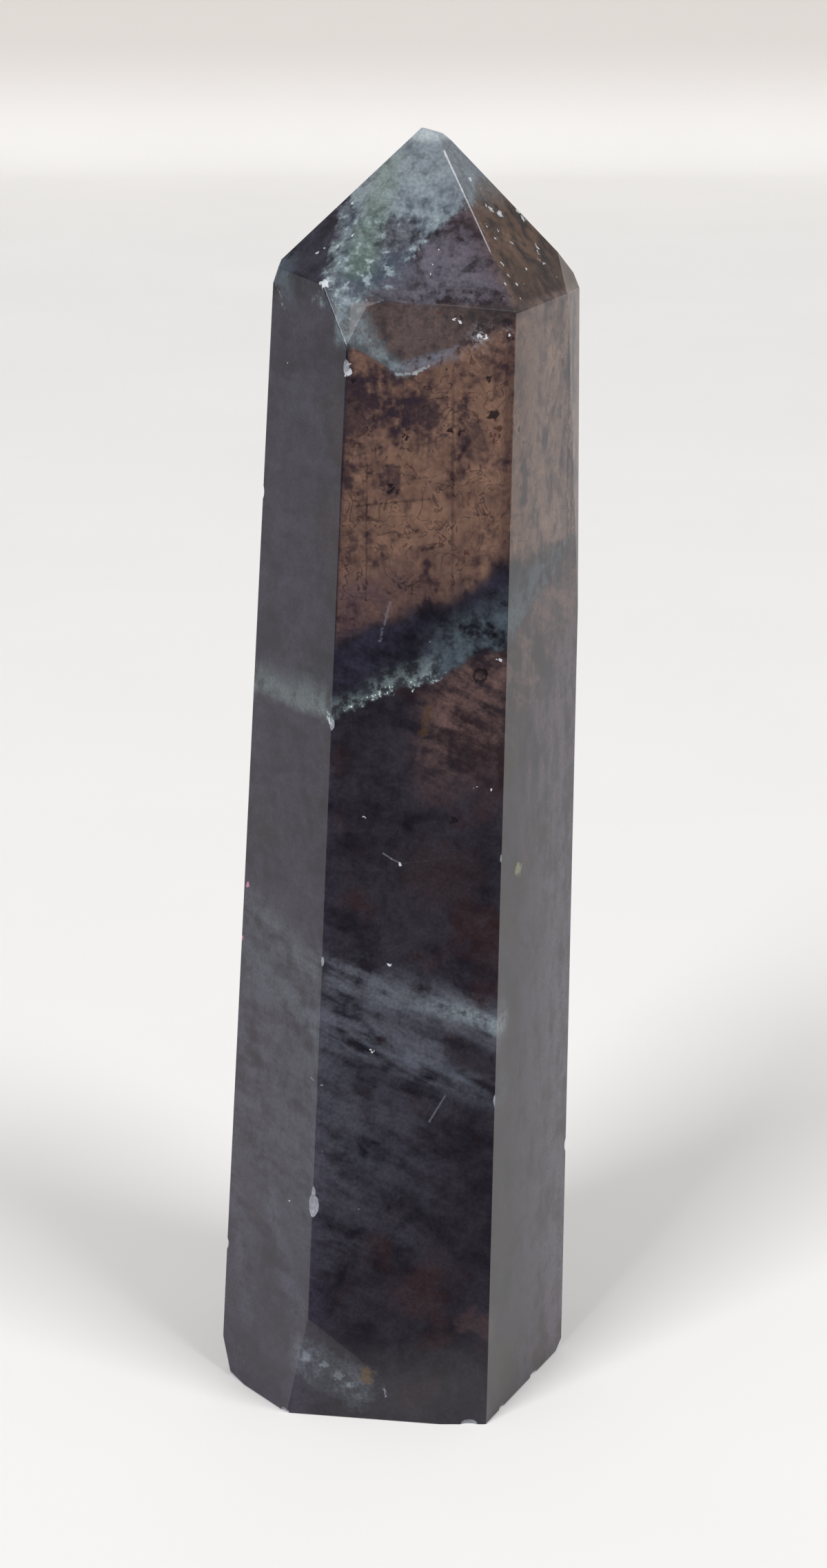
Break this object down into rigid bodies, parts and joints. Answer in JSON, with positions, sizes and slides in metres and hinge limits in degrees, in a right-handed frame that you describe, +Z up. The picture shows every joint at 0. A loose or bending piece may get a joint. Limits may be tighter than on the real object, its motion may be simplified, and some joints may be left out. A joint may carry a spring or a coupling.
{
  "type": "fluorite tower",
  "caption": "Polished fluorite tower: a tapering six-sided column of dark banded stone with a faceted point, free-standing on a flat sawn base.",
  "frame": {"origin": "on the sawn base, in the middle of the stone's width and depth", "axes": "+Z up toward the point, -Y the front face seen in the picture, +X the viewer's right"},
  "size_m": [0.0222, 0.0188, 0.0789],
  "materials": {
    "fluorite": "polished natural stone: dark purple with grey-green cloud and a see-through brown part"
  },
  "bodies": {
    "root": {"fluorite_tower": "fluorite"}
  },
  "joints": []
}
